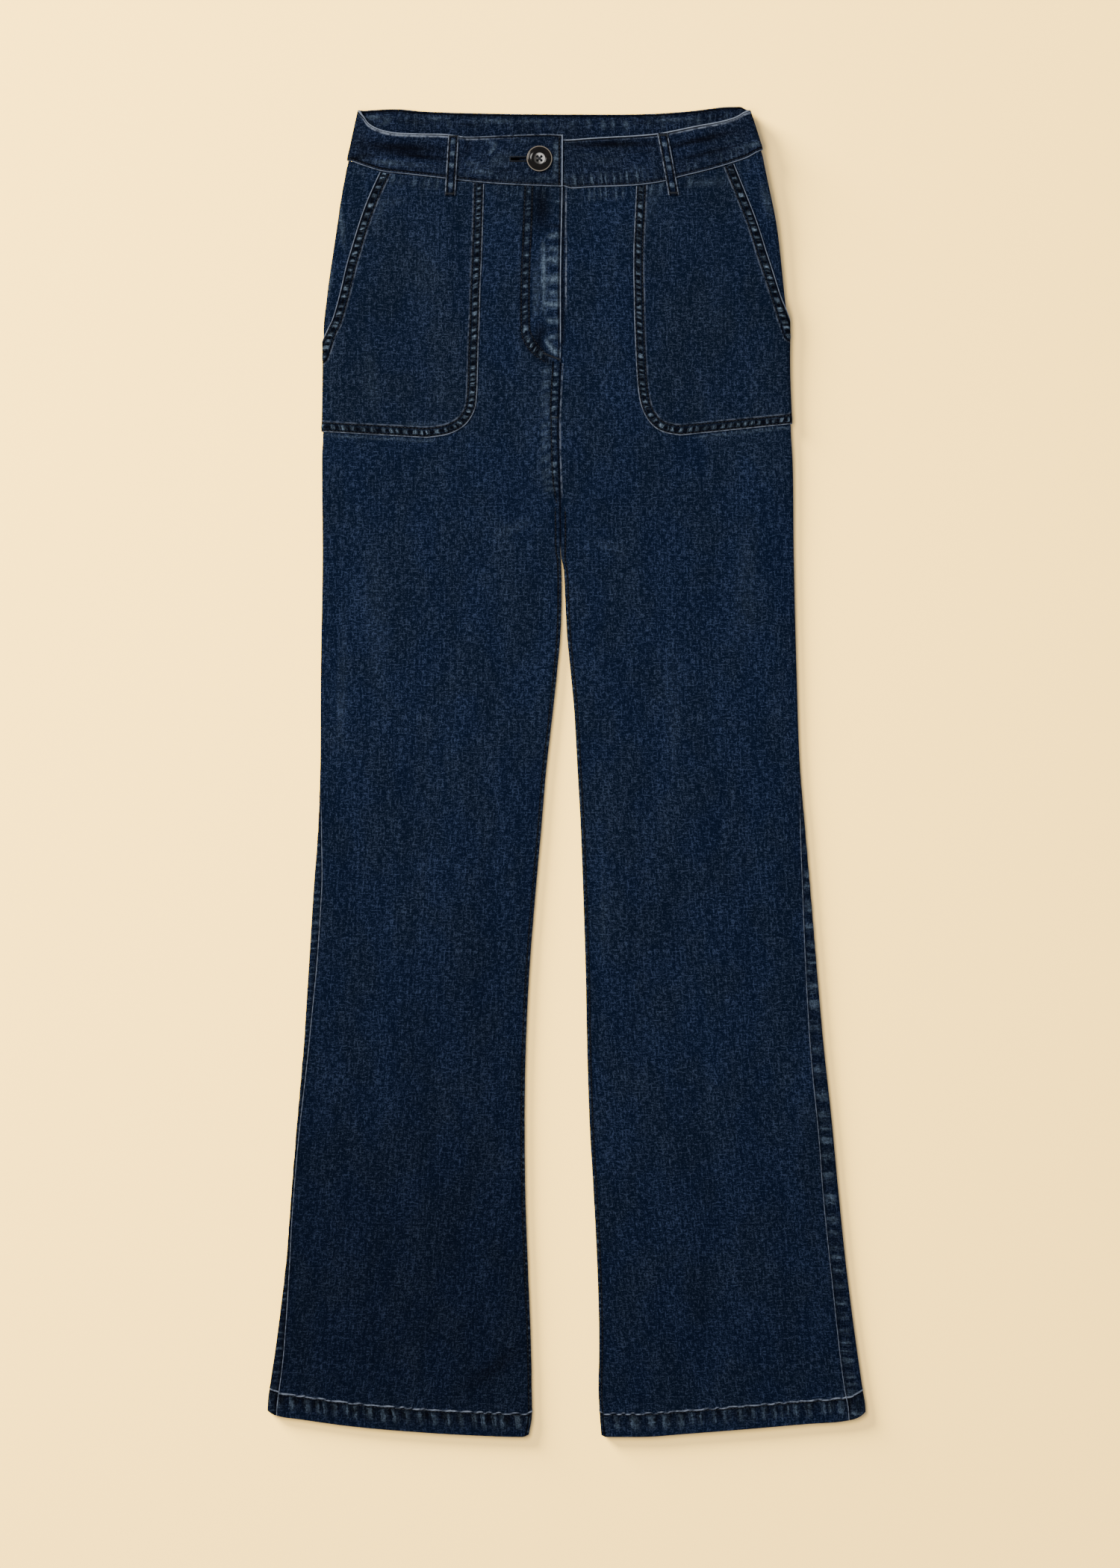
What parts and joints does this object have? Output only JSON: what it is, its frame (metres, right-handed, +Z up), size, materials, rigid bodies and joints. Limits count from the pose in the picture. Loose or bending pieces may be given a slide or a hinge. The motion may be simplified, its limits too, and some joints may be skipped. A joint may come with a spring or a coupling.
{
  "type": "wide leg jeans",
  "caption": "Wide leg jeans in dark indigo stretch denim, laid flat: high waistband with a button, lapped fly, patch front pockets, belt loops and stitched hems.",
  "frame": {"origin": "middle of the outline in plan, on the surface that the jeans rest on", "axes": "+Y from the hems to the waist, +Z up out of the front, +X to the wearer's left"},
  "size_m": [0.5051, 1.1228, 0.0198],
  "materials": {
    "denim": "dark indigo stretch denim, fine twill, matte",
    "denim_pocket": "the same denim, slightly greyer, matte",
    "denim_band": "the same denim, darker at the waistband and belt loops, matte",
    "button": "dark brown-black, polished, with a dished face"
  },
  "bodies": {
    "root": {"back_panel_right": "denim", "back_panel_left": "denim", "front_panel_right": "denim", "front_panel_left": "denim", "pocket_right": "denim_pocket", "pocket_left": "denim_pocket", "waistband_back": "denim_band", "waistband_front_right": "denim_band", "waistband_front_left": "denim_band", "belt_loop_front_right": "denim_band", "belt_loop_front_left": "denim_band", "belt_loop_back_1": "denim_band", "belt_loop_back_2": "denim_band", "belt_loop_back_3": "denim_band", "button": "button"}
  },
  "joints": []
}
